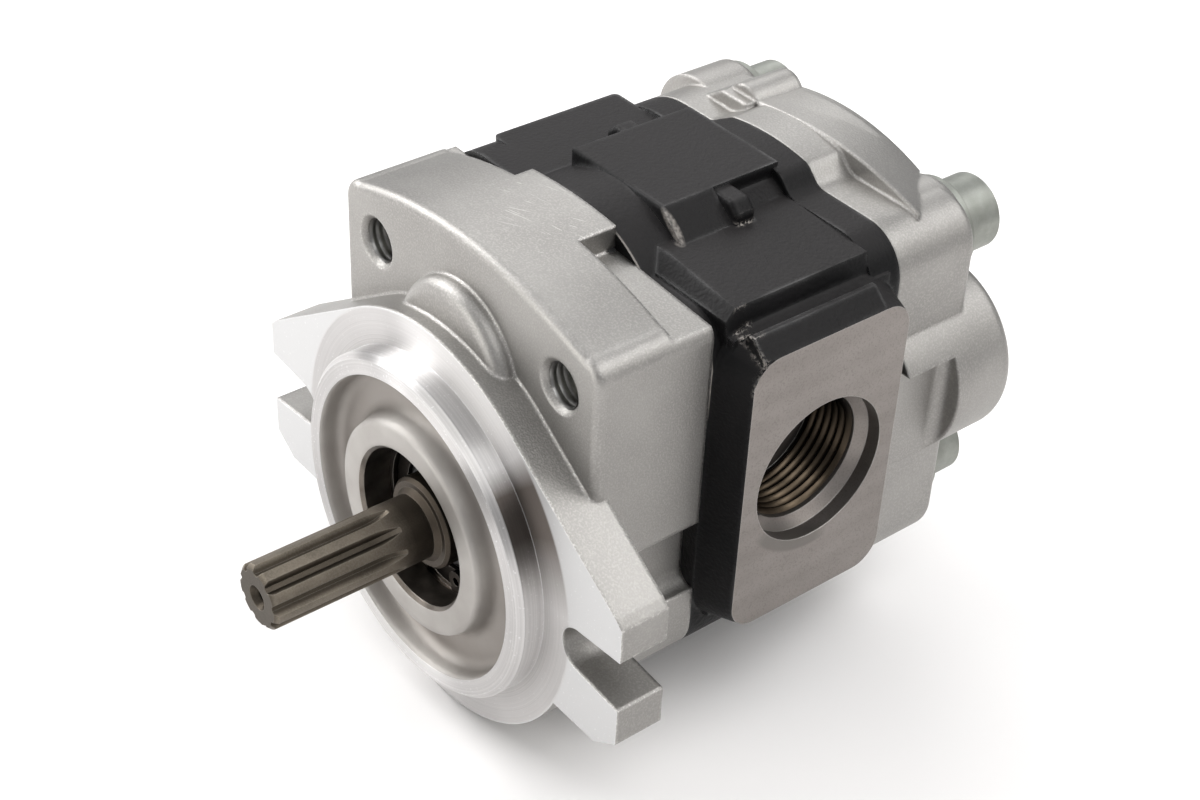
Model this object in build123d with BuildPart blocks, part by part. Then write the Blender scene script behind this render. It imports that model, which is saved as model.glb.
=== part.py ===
from build123d import *
import math
import os

# External gear pump. X is to the right when facing the shaft end, Y runs back along the shaft,
# Z is up. The origin lies on the shaft axis in the flange's mounting face. Millimetres.

# Gears and journals
gear_centres = 40.0
gear_teeth = 10
pressure_angle = 25.0
tooth_backlash = 0.30
addendum_factor = 1.0
dedendum_factor = 1.25
tip_gap = 0.20
side_gap = 0.10
journal_radius = 11.0
journal_reach = 18.5
journal_chamfer = 1.0
running_gap = 0.05

# Splined end: nine teeth, 16/32 diametral pitch, 30 degree pressure angle
spline_teeth = 9
spline_outer_radius = 7.728
spline_depth = 1.578
spline_land_width = 2.05
spline_root_gap = 1.05
spline_reach = 45.0
spline_full_length = 27.0
spline_runout_radius = 14.0
spline_runout_arc = 40.0
neck_setback = 3.5
neck_blend = 1.2
journal_front_chamfer = 0.8
shaft_end_chamfer = 0.9
centre_hole_radius = 2.1
centre_hole_depth = 11.0
centre_cone_radius = 3.0
centre_cone_depth = 1.6
centre_drill_tip = 1.2

# Ports: the thread walls stand at the thread's root radius
port_depth = 64.0
inlet_thread_radius = 15.7
inlet_thread_depth = 20.0
inlet_mouth_step = 2.4
inlet_mouth_depth = 4.8
inlet_passage_step = 2.7
inlet_pad_width = 44.6
inlet_pad_height = 72.4
inlet_pad_rise = 9.5
outlet_thread_radius = 12.4
outlet_thread_depth = 18.0
outlet_mouth_step = 2.2
outlet_mouth_depth = 3.3
outlet_passage_step = 2.9
outlet_pad_width = 42.0
outlet_pad_height = 50.0
outlet_pad_rise = 4.5
pad_corner = 7.0
pad_draft = 4.0
pad_joint_gap = 0.15
pad_root_setback = 0.5
pad_front_margin = 3.4
pad_rear_margin = 3.7
mouth_chamfer_rise = 1.2
mouth_chamfer_drop = 0.8
passage_shoulder = 1.5

# Tie bolts, washers and dowels
bolt_radius = 5.9
bolt_clearance = 0.6
bolt_wall = 2.3
bolt_overhang = 12.5
bolt_tip_setback = 8.4
bolt_hole_spare = 1.0
bolt_tip_chamfer = 1.0
thread_fit = 0.1
thread_root_step = 0.75
thread_mouth_step = 0.4
bolt_head_radius = 9.0
bolt_head_height = 12.0
bolt_head_chamfer = 0.8
bolt_socket_width = 10.0
bolt_socket_depth = 6.0
washer_radius = 11.8
washer_thickness = 2.5
spotface_gap = 0.8
dowel_radius = 3.0
dowel_depth = 8.0
dowel_end_gap = 0.3
dowel_chamfer = 0.6
dowel_offset_x = 2.5
dowel_offset_z = 11.0

# Housing walls, measured out from the bolts, the gears and the joints
bolt_edge = 12.5
shoulder_edge = 12.5
base_edge = 17.5
rear_reach = 2.0
rear_wall = 4.0
chamber_wall = 4.6
crown_rise = 5.4
crown_half = 23.0
crown_top_left = -9.0
crown_top_right = 16.4
crown_left_slope = 7.0
crown_side_drop = 1.3
crown_side_slope = 4.2
crown_side_blend = 3.6
crown_foot_blend = 4.5
rear_left_corner = 20.0
front_crown_half = 40.5
front_shoulder_drop = 1.4
front_corner = 4.8
body_corner = 11.0
base_corner = 12.0
cast_blend = 2.0

# Flange and pilot
pilot_radius = 41.275
pilot_height = 6.35
pilot_chamfer = 1.3
flange_thickness = 12.3
cover_face_depth = 8.6
disc_radius = 50.0
flange_bolt_circle = 106.4
flange_slot_width = 11.1
flange_slot_mouth = 13.8
ear_end = 13.2
ear_end_slope = 1.0
ear_shoulder = 2.0
ear_slope_angle = 56.4
ear_tip_half = 16.4
ear_knee_setback = 7.0
ear_knee_drop = 21.0
ear_root = 44.0
rim_width = 4.875
rim_draft = 0.9
hub_wall = 6.6
hub_draft = 1.6
recess_depth = 5.6
recess_blend = 2.2

# Idler boss on the front cover
idler_boss_radius = 19.5
idler_boss_front = 4.2
idler_boss_blend = 3.2

# Shelves beside the crown
tab_left = -16.0
tab_right = 13.0
right_shelf_length = 10.0
right_shelf_fall = 2.2
left_shelf_length = 4.8
left_shelf_drop = 3.7
body_left_drop = 1.2

# Crown of the rear cover
rear_shelf_length = 10.0
rear_crown_left = -12.0
rear_crown_step = 3.8
rear_crown_peak = 7.0
rear_crown_rise = 5.8
rear_crown_right = 42.0
rim_crown_step = 3.4
rim_crown_peak = 3.0
rim_crown_rise = 5.0
rim_crown_right = 28.0
rear_lump_side = -16.0
rear_lump_radius = 5.6
rear_lump_rise = 6.0
lump_bank_left = -29.0
lump_bank_top = -20.5
lump_bank_rise = 3.6
lump_bank_length = 17.0
rear_lobe_wall = 0.2

# Waist cut into both sides of the front cover
waist_depth = 4.6
waist_corner = 4.0
waist_top = 11.0
waist_bottom = -8.0

# Top of the body
flat_drop = 1.0
flat_setback = 1.0
flat_front_margin = 3.3
flat_front_bevel = 5.0
flat_front_fall = 2.2
flat_side_slope = 1.2
valley_drop = 5.6
pad_rise = 6.8
pad_left = -16.5
pad_right = 14.0
pad_front_step = 11.3
pad_rear_step = 7.0
pad_foot = 22.6
peg_length = 5.5
peg_reach = 22.4
peg_drop = 0.8
peg_bevel = 2.5
peg_skirt = 1.2
pad_edge_blend = 0.8
peg_edge_blend = 1.1
plate_left = -40.5
plate_front_step = 7.3
plate_corner = 1.5
rear_band = 8.4

# Ridge and block behind the inlet face
ridge_inner = 3.0
ridge_crest = 4.5
ridge_crest_width = 1.2
ridge_rise = 1.5
ridge_front_margin = 6.0
ridge_rear_margin = 11.0
block_rise = 2.0
block_foot_margin = 4.3
block_foot_slope = 4.0
block_front_margin = 3.5
block_rear_margin = 3.4

# Rear boss beside the tie bolts
rear_boss_offset = 1.0
rear_boss_radius = 22.4
rear_boss_rise = 10.0
rear_boss_start = 1.5
rear_boss_blend = 3.0
boss_flat_reach = 2.5
boss_flat_top = 11.5
boss_flat_length = 14.5
boss_flat_blend = 3.0

# Seals, side plates and bushes
seal_section = 8.0
seal_bore_chamfer = 0.8
seal_bore_depth = 11.0
seal_width = 8.0
seal_case_wall = 1.2
seal_case_window = 3.0
circlip_thickness = 1.5
circlip_groove_depth = 1.25
circlip_width = 2.6
circlip_opening = 30.0
circlip_gap_angle = -88.0
circlip_eye_radius = 2.6
circlip_eye_overlap = 1.2
circlip_eye_hole = 1.1
lip_section = 2.2
lip_width = 0.9
lip_edge_depth = 4.0
lip_nose = 1.0
lip_taper = 1.6
lip_flange = 1.0
dust_lip_reach = 1.7
dust_lip_gap = 0.1
garter_wire = 0.8
bush_wall = 1.5
bush_setback = 1.0
bush_trim = 0.5
bush_bore_spare = 1.5
bush_joint = 0.4
seat_gap = 0.05
side_plate_thickness = 6.0
plate_float = 0.10
plate_gap = 0.15
plate_journal_gap = 0.15
load_seal_setback = 3.65
load_seal_width = 2.6
load_seal_depth = 2.0
backup_width = 1.2
body_seal_wall = 1.2
body_seal_width = 2.0
body_seal_depth = 1.9
seal_side_gap = 0.1

# Gear sizes
gear_module = gear_centres / gear_teeth
pitch_radius = gear_centres / 2
tip_radius = pitch_radius + addendum_factor * gear_module
root_radius = pitch_radius - dedendum_factor * gear_module
chamber_radius = tip_radius + tip_gap
spline_root_radius = spline_outer_radius - spline_depth

# Depths of the joints, the gears and the journals
front_joint = port_depth - inlet_pad_width / 2 - pad_front_margin
rear_joint = port_depth + inlet_pad_width / 2 + pad_rear_margin
body_length = rear_joint - front_joint
bush_bore_depth = journal_reach + bush_bore_spare
rear_cover_thickness = bush_bore_depth + rear_wall
rear_face = rear_joint + rear_cover_thickness
gear_front = front_joint + plate_float + side_plate_thickness + side_gap
gear_rear = rear_joint - plate_float - side_plate_thickness - side_gap
journal_front = front_joint - journal_reach
journal_rear = rear_joint + journal_reach

# Places across the shaft
port_height = gear_centres / 2
gear_axes = [(0, 0), (0, gear_centres)]
bolt_hole_radius = bolt_radius + bolt_clearance
bolt_x = chamber_radius + bolt_wall + bolt_hole_radius
bolt_places = [
    (side * bolt_x, height)
    for side in (-1, 1)
    for height in (-bolt_overhang, gear_centres + bolt_overhang)
]
dowel_places = [
    (side * (bolt_x + dowel_offset_x), port_height + side * dowel_offset_z)
    for side in (-1, 1)
]
spotface_radius = washer_radius + spotface_gap

# Outline of the housings
cover_half_width = bolt_x + bolt_edge
rear_half_width = cover_half_width + rear_reach
shoulder_height = gear_centres + bolt_overhang + shoulder_edge
crown_height = shoulder_height + crown_rise
base_level = -bolt_overhang - base_edge
front_shoulder_height = shoulder_height - front_shoulder_drop
left_shelf_height = shoulder_height - left_shelf_drop
flat_height = shoulder_height - flat_drop
body_left_height = shoulder_height - body_left_drop
pad_height = flat_height + pad_rise
inlet_face = cover_half_width + inlet_pad_rise
outlet_face = cover_half_width + outlet_pad_rise

# Bores of the seal, the circlip and the bushes
seal_bore_radius = journal_radius + seal_section
circlip_groove_radius = seal_bore_radius + circlip_groove_depth
circlip_front = seal_bore_depth - seal_width - circlip_thickness - 2 * seat_gap
seal_front = seal_bore_depth - seat_gap - seal_width
bush_radius = journal_radius + running_gap + bush_wall
bush_bore_radius = bush_radius + seat_gap
bush_length = journal_reach - bush_trim
dowel_hole_radius = dowel_radius + seat_gap
cutter_overrun = 1.0


def across(depth):
    """Plane square to the shaft at one depth; its x is X and its y is Z."""
    return Plane.XZ.offset(-depth)


def polar(radius, angle):
    """Point at a radius and an angle in degrees."""
    return (radius * math.cos(math.radians(angle)), radius * math.sin(math.radians(angle)))


def housing_section(depth, half_width, shoulder, crown_span, top_corner):
    """Outline of a housing across the shaft: a rounded block under a shallow arch."""
    with BuildSketch(across(depth)) as section:
        with Locations((0, (shoulder + base_level) / 2)):
            Rectangle(2 * half_width, shoulder - base_level)
        fillet(section.vertices().group_by(Axis.Y)[-1], top_corner)
        fillet(section.vertices().group_by(Axis.Y)[0], base_corner)
        with BuildLine():
            arch = ThreePointArc((-crown_span, shoulder), (0, crown_height), (crown_span, shoulder))
            Line(arch @ 1, arch @ 0)
        make_face()
    return section.sketch


def rear_section(depth):
    """Outline shared by the body's rear band and the rear cover: shoulders beside a raised crown."""
    crown_foot = crown_top_right + crown_side_slope
    crown_left_foot = crown_top_left - crown_left_slope
    side_top = crown_height - crown_side_drop
    with BuildSketch(across(depth)) as section:
        with BuildLine():
            Polyline(
                (crown_top_right, side_top),
                (crown_foot, shoulder_height),
                (rear_half_width, shoulder_height),
                (rear_half_width, base_level),
                (-cover_half_width, base_level),
                (-cover_half_width, shoulder_height),
                (crown_left_foot, shoulder_height),
                (crown_top_left, side_top),
            )
            ThreePointArc(
                (crown_top_left, side_top),
                ((crown_top_left + crown_top_right) / 2, crown_height),
                (crown_top_right, side_top),
            )
        make_face()
        for x, z, blend in (
            (rear_half_width, base_level, base_corner),
            (-cover_half_width, base_level, base_corner),
            (rear_half_width, shoulder_height, body_corner),
            (-cover_half_width, shoulder_height, rear_left_corner),
            (crown_foot, shoulder_height, crown_foot_blend),
            (crown_left_foot, shoulder_height, crown_foot_blend),
            (crown_top_right, side_top, crown_side_blend),
            (crown_top_left, side_top, crown_side_blend),
        ):
            fillet(section.vertices().sort_by_distance((x, z, 0))[0], blend)
    return section.sketch


def turned(points):
    """Face in the plane through the shaft axis, from (radius, depth) points."""
    with BuildSketch(Plane.XY) as profile:
        with BuildLine():
            Polyline(*points, close=True)
        make_face()
    return profile.sketch


def ring(depth, outer, inner, centre=(0, 0)):
    """Flat ring across the shaft."""
    with BuildSketch(across(depth)) as face:
        with Locations(centre):
            Circle(outer)
            Circle(inner, mode=Mode.SUBTRACT)
    return face.sketch


def discs(depth, radius, places):
    """Discs across the shaft at several places."""
    with BuildSketch(across(depth)) as face:
        with Locations(*places):
            Circle(radius)
    return face.sketch


def stadium_ring(depth, inner, width):
    """Oval band round both gear chambers, for the seal between two housings."""
    with BuildSketch(across(depth)) as face:
        with Locations((0, port_height)):
            SlotCenterToCenter(gear_centres, 2 * (inner + width), rotation=90)
            SlotCenterToCenter(gear_centres, 2 * inner, rotation=90, mode=Mode.SUBTRACT)
    return face.sketch


def wedge(depth, points):
    """Closed outline across the shaft from (x, z) points."""
    with BuildSketch(across(depth)) as face:
        with BuildLine():
            Polyline(*points, close=True)
        make_face()
    return face.sketch


def involute(angle):
    """Involute of an angle in radians."""
    return math.tan(angle) - angle


def gear_outline(depth, centre, first_tooth):
    """Involute gear across the shaft, with one tooth at the angle first_tooth in degrees."""
    working_angle = math.radians(pressure_angle)
    base_radius = pitch_radius * math.cos(working_angle)
    tooth_half = (math.pi * gear_module - tooth_backlash) / (4 * pitch_radius)
    half_pitch = 180 / gear_teeth
    flank_steps = 5
    step_growth = 1.5

    def flank_angle(radius):
        roll = math.acos(min(1.0, base_radius / radius))
        return math.degrees(tooth_half + involute(working_angle) - involute(roll))

    radii = [
        base_radius + (tip_radius - base_radius) * (step / flank_steps) ** step_growth
        for step in range(flank_steps + 1)
    ]

    def at(radius, angle):
        spot = polar(radius, angle)
        return (centre[0] + spot[0], centre[1] + spot[1])

    with BuildSketch(across(depth)) as face:
        with BuildLine():
            for tooth in range(gear_teeth):
                middle = first_tooth + 2 * half_pitch * tooth
                Spline(*[at(r, middle - flank_angle(r)) for r in radii])
                Spline(*[at(r, middle + flank_angle(r)) for r in radii])
                ThreePointArc(
                    at(tip_radius, middle - flank_angle(tip_radius)),
                    at(tip_radius, middle),
                    at(tip_radius, middle + flank_angle(tip_radius)),
                )
                ThreePointArc(
                    at(base_radius, middle + flank_angle(base_radius)),
                    at(root_radius, middle + half_pitch),
                    at(base_radius, middle + 2 * half_pitch - flank_angle(base_radius)),
                )
        make_face()
    return face.sketch


# Front cover: flange, pilot and bearing cover in one die casting
front_section = housing_section(
    front_joint, cover_half_width, front_shoulder_height, front_crown_half, front_corner
)
slot_centre = flange_bolt_circle / 2
ear_reach = slot_centre + ear_end
ear_start = polar(disc_radius, ear_slope_angle)
ear_shoulder_x = ear_reach - ear_shoulder
ear_shoulder_z = ear_start[1] - (ear_shoulder_x - ear_start[0]) / math.tan(math.radians(ear_slope_angle))
with BuildSketch(across(flange_thickness)) as flange_face:
    Circle(disc_radius)
    for side in (-1, 1):
        with BuildLine():
            Polyline(
                (0, 0),
                (side * ear_start[0], ear_start[1]),
                (side * ear_shoulder_x, ear_shoulder_z),
                (side * ear_reach, ear_tip_half - ear_end_slope),
                (side * ear_reach, -ear_tip_half),
                (side * (ear_reach - ear_knee_setback), -ear_knee_drop),
                (side * ear_root, -ear_knee_drop),
                close=True,
            )
        make_face()
    for side in (-1, 1):
        with Locations((side * slot_centre, 0)):
            Circle(flange_slot_width / 2, mode=Mode.SUBTRACT)
        with BuildLine():
            Polyline(
                (side * slot_centre, flange_slot_width / 2),
                (side * (ear_reach + cutter_overrun), flange_slot_mouth / 2),
                (side * (ear_reach + cutter_overrun), -flange_slot_mouth / 2),
                (side * slot_centre, -flange_slot_width / 2),
                close=True,
            )
        make_face(mode=Mode.SUBTRACT)
rim_inner_radius = pilot_radius - rim_width
hub_radius = seal_bore_radius + hub_wall
recess_floor = recess_depth - pilot_height
with BuildSketch(Plane.XY) as recess_profile:
    with BuildLine():
        Polyline(
            (rim_inner_radius, -pilot_height - cutter_overrun),
            (rim_inner_radius, -pilot_height),
            (rim_inner_radius - rim_draft, recess_floor),
            (hub_radius + hub_draft, recess_floor),
            (hub_radius, -pilot_height),
            (hub_radius, -pilot_height - cutter_overrun),
            close=True,
        )
    make_face()
    fillet(recess_profile.vertices().group_by(Axis.Y)[-1], recess_blend)
circlip_groove_end = circlip_front + circlip_thickness + seat_gap
bore_mouth = seal_bore_radius + seal_bore_chamfer + cutter_overrun
front_bore_profile = turned(
    [
        (0, -pilot_height - cutter_overrun),
        (bore_mouth, -pilot_height - cutter_overrun),
        (seal_bore_radius, -pilot_height + seal_bore_chamfer),
        (seal_bore_radius, circlip_front - seat_gap),
        (circlip_groove_radius, circlip_front - seat_gap),
        (circlip_groove_radius, circlip_groove_end),
        (seal_bore_radius, circlip_groove_end),
        (seal_bore_radius, seal_bore_depth),
        (bush_bore_radius, seal_bore_depth),
        (bush_bore_radius, front_joint + cutter_overrun),
        (0, front_joint + cutter_overrun),
    ]
)
tie_bolt_tip = cover_face_depth + bolt_tip_setback
thread_root_radius = bolt_radius - thread_root_step
with BuildPart() as front_cover:
    extrude(to_extrude=front_section, amount=front_joint - cover_face_depth)
    fillet(front_cover.faces().sort_by(Axis.Y)[0].edges(), cast_blend)
    extrude(
        to_extrude=discs(front_joint, idler_boss_radius, [gear_axes[1]]),
        amount=front_joint - idler_boss_front,
    )
    fillet(front_cover.faces().sort_by(Axis.Y)[0].edges(), idler_boss_blend)
    # Waist between the bolt corners, behind the ears
    for side in (-1, 1):
        with BuildSketch(across(front_joint)) as waist:
            with Locations((side * cover_half_width, (waist_top + waist_bottom) / 2)):
                RectangleRounded(2 * waist_depth, waist_top - waist_bottom, waist_corner)
        extrude(amount=front_joint - flange_thickness + cutter_overrun, mode=Mode.SUBTRACT)
    # Shelves beside the crown at the joint
    extrude(
        to_extrude=wedge(
            front_joint,
            [
                (tab_right, crown_height + cutter_overrun),
                (tab_right, flat_height),
                (cover_half_width + cutter_overrun, flat_height - right_shelf_fall),
                (cover_half_width + cutter_overrun, crown_height + cutter_overrun),
            ],
        ),
        amount=right_shelf_length,
        mode=Mode.SUBTRACT,
    )
    extrude(
        to_extrude=wedge(
            front_joint,
            [
                (tab_left, crown_height + cutter_overrun),
                (tab_left, left_shelf_height),
                (-cover_half_width - cutter_overrun, left_shelf_height),
                (-cover_half_width - cutter_overrun, crown_height + cutter_overrun),
            ],
        ),
        amount=left_shelf_length,
        mode=Mode.SUBTRACT,
    )
    # Mounting flange and pilot
    extrude(to_extrude=flange_face.sketch, amount=flange_thickness)
    extrude(to_extrude=discs(0, pilot_radius, [(0, 0)]), amount=pilot_height)
    pilot_front = front_cover.faces().sort_by(Axis.Y)[0]
    chamfer(pilot_front.edges(), pilot_chamfer)
    revolve(recess_profile.sketch, axis=Axis.Y, mode=Mode.SUBTRACT)
    revolve(front_bore_profile, axis=Axis.Y, mode=Mode.SUBTRACT)
    # Idler bearing bore
    extrude(
        to_extrude=discs(front_joint, bush_bore_radius, [gear_axes[1]]),
        amount=bush_bore_depth,
        mode=Mode.SUBTRACT,
    )
    # Tapped holes for the tie bolts, open at the front above the flange
    extrude(
        to_extrude=discs(front_joint, thread_root_radius, bolt_places),
        amount=front_joint - cover_face_depth,
        mode=Mode.SUBTRACT,
    )
    extrude(
        to_extrude=discs(front_joint, bolt_radius + thread_fit, bolt_places),
        amount=front_joint - tie_bolt_tip + bolt_hole_spare,
        mode=Mode.SUBTRACT,
    )
    mouths = front_cover.edges().filter_by(GeomType.CIRCLE).filter_by(
        lambda edge: abs(edge.radius - thread_root_radius) < seat_gap
        and abs(edge.arc_center.Y - cover_face_depth) < seat_gap
        and edge.arc_center.Z > port_height
    )
    chamfer(mouths, thread_root_step + thread_mouth_step)
    # Dowel holes and the groove of the body seal
    extrude(
        to_extrude=discs(front_joint, dowel_hole_radius, dowel_places),
        amount=dowel_depth,
        mode=Mode.SUBTRACT,
    )
    extrude(
        to_extrude=stadium_ring(
            front_joint, chamber_radius + body_seal_wall, body_seal_width + 2 * seal_side_gap
        ),
        amount=body_seal_depth,
        mode=Mode.SUBTRACT,
    )


def port_bore(face, thread_radius, thread_depth, mouth_step, mouth_depth, passage_step):
    """Profile of one port, turned about the port axis; the radius is x, the distance out is y."""
    mouth_radius = thread_radius + mouth_step
    passage_radius = thread_radius - passage_step
    with BuildSketch(Plane.XY) as profile:
        with BuildLine():
            Polyline(
                (0, face + cutter_overrun),
                (mouth_radius, face + cutter_overrun),
                (mouth_radius, face - mouth_depth + mouth_chamfer_rise),
                (thread_radius, face - mouth_depth - mouth_chamfer_drop),
                (thread_radius, face - thread_depth),
                (passage_radius, face - thread_depth - passage_shoulder),
                (passage_radius, chamber_radius / 2),
                (0, chamber_radius / 2),
                close=True,
            )
        make_face()
    return profile.sketch


def port_pad(side, face, width, height):
    """Rounded pad in a plane square to X, pulled out to the port face."""
    with BuildSketch(Plane.YZ.offset(side * face)) as pad:
        with Locations((port_depth, port_height)):
            RectangleRounded(width, height, pad_corner)
    return pad.sketch


# Pump body: gear chambers, ports and tie-bolt holes in one iron casting
band_front = rear_joint - rear_band
body_section = housing_section(band_front, cover_half_width, left_shelf_height, crown_half, body_corner)
flat_right = cover_half_width - flat_setback
valley_height = flat_height - valley_drop
block_reach = cover_half_width + block_rise
block_foot = port_height - inlet_pad_height / 2 - block_foot_margin
inlet_pad_root = cover_half_width - pad_root_setback
inlet_draft = math.degrees(math.atan((pad_front_margin - pad_joint_gap) / (inlet_face - inlet_pad_root)))
with BuildPart() as flat_top:
    flat_front = front_joint + flat_front_margin
    extrude(
        to_extrude=wedge(
            band_front,
            [
                (0, port_height),
                (0, shoulder_height),
                (pad_foot, shoulder_height),
                (flat_right, flat_height),
                (flat_right + flat_side_slope, valley_height),
                (flat_right + flat_side_slope, port_height),
            ],
        ),
        amount=band_front - flat_front,
    )
    with BuildSketch(Plane.YZ) as front_bevel:
        with BuildLine():
            Polyline(
                (flat_front, shoulder_height + cutter_overrun),
                (flat_front, flat_height - flat_front_fall),
                (flat_front + flat_front_bevel, shoulder_height + cutter_overrun),
                close=True,
            )
        make_face()
    extrude(amount=rear_half_width, mode=Mode.SUBTRACT)
with BuildPart() as top_pad:
    pad_front = front_joint + pad_front_step
    pad_rear = rear_joint - pad_rear_step
    with BuildSketch(Plane.XY.offset(pad_height)) as pad:
        with Locations(((pad_left + pad_right) / 2, (pad_front + pad_rear) / 2)):
            Rectangle(pad_right - pad_left, pad_rear - pad_front)
    extrude(amount=-(pad_height - gear_centres))
    extrude(
        to_extrude=wedge(
            port_depth,
            [
                (0, port_height),
                (0, pad_height),
                (pad_right, pad_height),
                (pad_foot, flat_height),
                (pad_foot, port_height),
            ],
        ),
        amount=port_depth - pad_front,
    )
    pad_edges = top_pad.faces().sort_by(Axis.Z)[-1].edges()
    fillet([pad_edges.sort_by(Axis.X)[0], pad_edges.sort_by(Axis.Y)[0]], pad_edge_blend)
with BuildPart() as pegs:
    peg_top = pad_height - peg_drop
    extrude(
        to_extrude=wedge(
            port_depth + peg_length,
            [
                (-peg_reach - peg_skirt, port_height),
                (-peg_reach, peg_top - peg_bevel),
                (peg_bevel - peg_reach, peg_top),
                (peg_reach - peg_bevel, peg_top),
                (peg_reach, peg_top - peg_bevel),
                (peg_reach + peg_skirt, port_height),
            ],
        ),
        amount=peg_length,
    )
    fillet(pegs.edges().filter_by(lambda edge: edge.center().Z > gear_centres), peg_edge_blend)
with BuildPart() as pump_body:
    extrude(to_extrude=body_section, amount=band_front - front_joint)
    with BuildSketch(across(band_front)) as left_shoulder:
        with Locations((-cover_half_width / 2, (port_height + body_left_height) / 2)):
            Rectangle(cover_half_width, body_left_height - port_height)
        outer_corner = (-cover_half_width, body_left_height, 0)
        fillet(left_shoulder.vertices().sort_by_distance(outer_corner)[0], body_corner)
    extrude(amount=band_front - front_joint)
    # Wall round the idler chamber, showing as the neck under the pad
    extrude(
        to_extrude=discs(rear_joint, chamber_radius + chamber_wall, [gear_axes[1]]),
        amount=body_length,
    )
    # Flat top on the inlet side, with its front edge bevelled down to the joint
    add(flat_top.part)
    extrude(to_extrude=rear_section(rear_joint), amount=rear_band)
    # Flat corner on the outlet side, standing out over the rounded shoulder
    plate_front = front_joint + plate_front_step
    with BuildSketch(Plane.XY.offset(body_left_height)) as plate:
        with Locations(((plate_left + pad_left) / 2, (plate_front + band_front) / 2)):
            Rectangle(pad_left - plate_left, band_front - plate_front)
        fillet(plate.vertices().group_by(Axis.X)[0], plate_corner)
    extrude(amount=-(body_left_height - gear_centres))
    # Top pad with its sloping foot and two pegs
    add(top_pad.part)
    add(pegs.part)
    # Port blocks and pads
    block_rear = rear_joint - block_rear_margin
    extrude(
        to_extrude=wedge(
            block_rear,
            [
                (bolt_x, valley_height),
                (block_reach, valley_height),
                (block_reach, block_foot + block_foot_slope),
                (bolt_x, block_foot - block_foot_slope),
            ],
        ),
        amount=block_rear - front_joint - block_front_margin,
    )
    extrude(
        to_extrude=port_pad(1, inlet_face, inlet_pad_width, inlet_pad_height),
        amount=inlet_pad_root - inlet_face,
        taper=-inlet_draft,
    )
    # Casting ridge between the flat top and the inlet face
    ridge_rear = rear_joint - ridge_rear_margin
    ridge_crest_x = cover_half_width + ridge_crest
    extrude(
        to_extrude=wedge(
            ridge_rear,
            [
                (cover_half_width, port_height),
                (cover_half_width + ridge_inner, valley_height),
                (ridge_crest_x - ridge_crest_width / 2, valley_height + ridge_rise),
                (ridge_crest_x + ridge_crest_width / 2, valley_height + ridge_rise),
                (inlet_face - pad_joint_gap, port_height + inlet_pad_height / 2),
                (inlet_face - pad_joint_gap, port_height),
            ],
        ),
        amount=ridge_rear - front_joint - ridge_front_margin,
    )
    extrude(
        to_extrude=port_pad(-1, outlet_face, outlet_pad_width, outlet_pad_height),
        amount=outlet_face - bolt_x,
        taper=-pad_draft,
    )
    # Gear chambers
    extrude(
        to_extrude=discs(rear_joint, chamber_radius, gear_axes),
        amount=body_length,
        mode=Mode.SUBTRACT,
    )
    # Ports, turned about their own axis
    port_axis = Axis((0, port_depth, port_height), (1, 0, 0))
    inlet_bore = port_bore(
        inlet_face,
        inlet_thread_radius,
        inlet_thread_depth,
        inlet_mouth_step,
        inlet_mouth_depth,
        inlet_passage_step,
    )
    outlet_bore = port_bore(
        outlet_face,
        outlet_thread_radius,
        outlet_thread_depth,
        outlet_mouth_step,
        outlet_mouth_depth,
        outlet_passage_step,
    )
    for side, profile in ((1, inlet_bore), (-1, outlet_bore)):
        seat = Plane(origin=(0, port_depth, port_height), x_dir=(0, 0, 1), z_dir=(0, side, 0))
        revolve(seat * profile, axis=port_axis, mode=Mode.SUBTRACT)
    # Tie-bolt and dowel holes
    extrude(
        to_extrude=discs(rear_joint, bolt_hole_radius, bolt_places),
        amount=body_length,
        mode=Mode.SUBTRACT,
    )
    extrude(
        to_extrude=discs(rear_joint, dowel_hole_radius, dowel_places),
        amount=dowel_depth,
        mode=Mode.SUBTRACT,
    )
    extrude(
        to_extrude=discs(front_joint, dowel_hole_radius, dowel_places),
        amount=-dowel_depth,
        mode=Mode.SUBTRACT,
    )


def crown_outline(depth, step, peak, rise, right):
    """Outline of the rear cover's crown at one depth, under a shallow arch that ends at the shoulder."""
    with BuildSketch(across(depth)) as outline:
        with BuildLine():
            Polyline(
                (right, shoulder_height),
                (right, port_height),
                (rear_crown_left, port_height),
                (rear_crown_left, shoulder_height + step),
            )
            ThreePointArc(
                (rear_crown_left, shoulder_height + step),
                (peak, shoulder_height + rise),
                (right, shoulder_height),
            )
        make_face()
    return outline.sketch


# Rear cover: bearing cover with the tie-bolt seats
rear_crown_front = crown_outline(
    rear_joint + rear_shelf_length, rear_crown_step, rear_crown_peak, rear_crown_rise, rear_crown_right
)
rear_crown_back = crown_outline(rear_face, rim_crown_step, rim_crown_peak, rim_crown_rise, rim_crown_right)
with BuildSketch(across(rear_face)) as rear_lobes:
    with Locations((rear_lump_side, shoulder_height + rear_lump_rise - rear_lump_radius)):
        Circle(rear_lump_radius)
    with Locations(*bolt_places):
        Circle(spotface_radius + rear_lobe_wall)
lump_bank = wedge(
    rear_face,
    [
        (lump_bank_left, port_height),
        (lump_bank_left, shoulder_height - cast_blend),
        (lump_bank_top, shoulder_height + lump_bank_rise),
        (rear_crown_left, shoulder_height + lump_bank_rise),
        (rear_crown_left, port_height),
    ],
)
rear_boss_end = rear_face + rear_boss_rise
boss_flat = rear_half_width + boss_flat_reach
boss_side = bolt_x + rear_boss_offset + rear_boss_radius + cutter_overrun
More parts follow.
